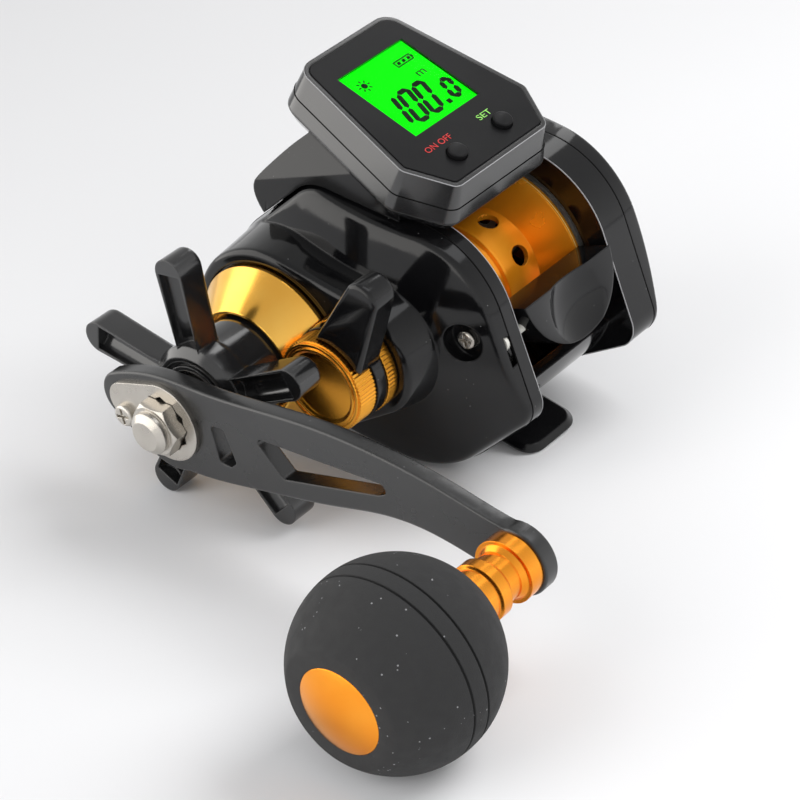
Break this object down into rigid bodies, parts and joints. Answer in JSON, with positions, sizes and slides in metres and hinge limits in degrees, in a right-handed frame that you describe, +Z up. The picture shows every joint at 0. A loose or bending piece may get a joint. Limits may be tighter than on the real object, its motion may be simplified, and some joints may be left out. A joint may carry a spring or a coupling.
{
  "type": "digital baitcasting reel",
  "caption": "Low-profile casting reel with a line-counter display on top, star drag, long crank with a round foam knob, thumb bar and a T-shaped level wind body.",
  "frame": {"origin": "underside of the reel foot, straight below the spool axis", "axes": "+X along the spool axis away from the handle, +Y to the rod tip, +Z up"},
  "size_m": [0.1441, 0.1277, 0.0807],
  "materials": {
    "gloss_black": "glossy black lacquer",
    "satin_black": "satin moulded black",
    "foam_charcoal": "matte foam with fine specks",
    "gold": "gold anodised, mirror-like",
    "orange": "orange anodised, satin",
    "graphite": "dark anodised, satin",
    "steel": "bright turned steel",
    "chrome": "polished",
    "brass": "machined",
    "drag": "woven drag disc",
    "nylon": "natural nylon",
    "magnet": "nickel plated magnet",
    "ceramic": "polished ceramic",
    "lcd": "lit green display",
    "clear": "clear window",
    "board": "green solder mask"
  },
  "bodies": {
    "body": {"frame": "gloss_black", "reel_foot": "gloss_black", "foot_screws": "steel", "handle_side_cover": "gloss_black", "cover_screws": "chrome", "palm_side_cover": "gloss_black", "ball_bearings": "steel", "count_sensor": "satin_black", "yoke_springs": "steel", "drag_collar": "gold", "one_way_bearing": "steel", "tension_skirt": "gold", "guide_pipe": "steel", "guide_rod": "steel", "front_hood": "gloss_black", "counter_case": "satin_black", "counter_base": "satin_black", "counter_bezel": "satin_black", "counter_window": "clear", "lcd_panel": "lcd", "counter_board": "board", "battery_cell": "steel", "case_screws": "steel"},
    "crank": {"drive_shaft": "steel", "drive_gear": "brass", "drag_washers": "drag", "wind_drive_gear": "nylon", "clutch_sleeve": "steel", "star_springs": "steel", "handle_spacer": "steel", "handle_arm": "graphite", "lock_plate": "chrome", "lock_screw": "chrome", "handle_nut": "chrome", "spindle_pin": "steel", "spindle_collar": "orange"},
    "star": {"star_drag": "gloss_black"},
    "knob": {"knob_bearings": "steel", "knob_core": "satin_black", "knob_grip": "foam_charcoal", "knob_cap": "orange"},
    "spool_group": {"spool": "gold", "spool_shaft": "steel", "count_magnets": "magnet"},
    "yoke": {"clutch_yoke": "nylon"},
    "pinion_gear": {"pinion": "brass"},
    "thumb": {"thumb_bar": "gloss_black", "clutch_cam": "nylon"},
    "worm": {"worm_shaft": "steel", "worm_gear": "nylon"},
    "carriage": {"line_carriage": "satin_black", "line_eye": "ceramic", "guide_pawl": "brass"},
    "lever": {"fall_lever": "gloss_black"},
    "cast_control": {"tension_knob": "gold"},
    "dial": {"brake_dial": "gloss_black"},
    "magnets": {"magnet_carrier": "nylon", "brake_magnets": "magnet"},
    "power": {"power_button": "satin_black"},
    "set": {"set_button": "satin_black"}
  },
  "joints": [
    {"name": "handle_spin", "type": "hinge", "parent": "body", "child": "crank", "pos_m": [0, 0.02001, 0.01509], "axis": [1, 0, 0], "continuous": true},
    {"name": "star_turn", "type": "hinge", "parent": "crank", "child": "star", "pos_m": [0, 0.02001, 0.01509], "axis": [1, 0, 0], "range_deg": [-180, 180]},
    {"name": "knob_spin", "type": "hinge", "parent": "crank", "child": "knob", "pos_m": [0, -0.05959, 0.03479], "axis": [1, 0, 0], "continuous": true},
    {"name": "spool_spin", "type": "hinge", "parent": "body", "child": "spool_group", "pos_m": [0, 0, 0.024], "axis": [1, 0, 0], "continuous": true},
    {"name": "thumb_press", "type": "slide", "parent": "body", "child": "thumb", "axis": [0, -0.5329, -0.8462], "range_m": [0, 0.0034], "stiffness_N_per_m": 150, "springref_m": -0.001},
    {"name": "yoke_shift", "type": "slide", "parent": "body", "child": "yoke", "axis": [-1, 0, 0], "range_m": [0, 0.0009]},
    {"name": "pinion_spin", "type": "hinge", "parent": "yoke", "child": "pinion_gear", "pos_m": [0, 0, 0.024], "axis": [1, 0, 0], "continuous": true},
    {"name": "worm_spin", "type": "hinge", "parent": "body", "child": "worm", "pos_m": [0, 0.03104, 0.02435], "axis": [1, 0, 0], "continuous": true},
    {"name": "line_travel", "type": "slide", "parent": "body", "child": "carriage", "axis": [1, 0, 0], "range_m": [-0.009, 0.009]},
    {"name": "lever_swing", "type": "hinge", "parent": "body", "child": "lever", "pos_m": [0, 0, 0.024], "axis": [1, 0, 0], "range_deg": [-30, 45]},
    {"name": "cast_control_turn", "type": "hinge", "parent": "body", "child": "cast_control", "pos_m": [0, 0, 0.024], "axis": [1, 0, 0], "range_deg": [-180, 180]},
    {"name": "brake_turn", "type": "hinge", "parent": "body", "child": "dial", "pos_m": [0, 0, 0.024], "axis": [1, 0, 0], "range_deg": [0, 300]},
    {"name": "magnet_slide", "type": "slide", "parent": "body", "child": "magnets", "axis": [-1, 0, 0], "range_m": [0, 0.0012]},
    {"name": "power_press", "type": "slide", "parent": "body", "child": "power", "axis": [0, 0.1288, -0.9917], "range_m": [0, 0.0005], "stiffness_N_per_m": 400, "springref_m": -0.0005},
    {"name": "set_press", "type": "slide", "parent": "body", "child": "set", "axis": [0, 0.1288, -0.9917], "range_m": [0, 0.0005], "stiffness_N_per_m": 400, "springref_m": -0.0005}
  ],
  "couplings": [
    {"joint": "spool_spin", "follows": "handle_spin", "ratio": -6.3},
    {"joint": "pinion_spin", "follows": "handle_spin", "ratio": -6.3},
    {"joint": "worm_spin", "follows": "handle_spin", "ratio": -3},
    {"joint": "yoke_shift", "follows": "thumb_press", "ratio": 0.26471},
    {"joint": "brake_turn", "follows": "magnet_slide", "rad_per_m": 4363.3}
  ]
}
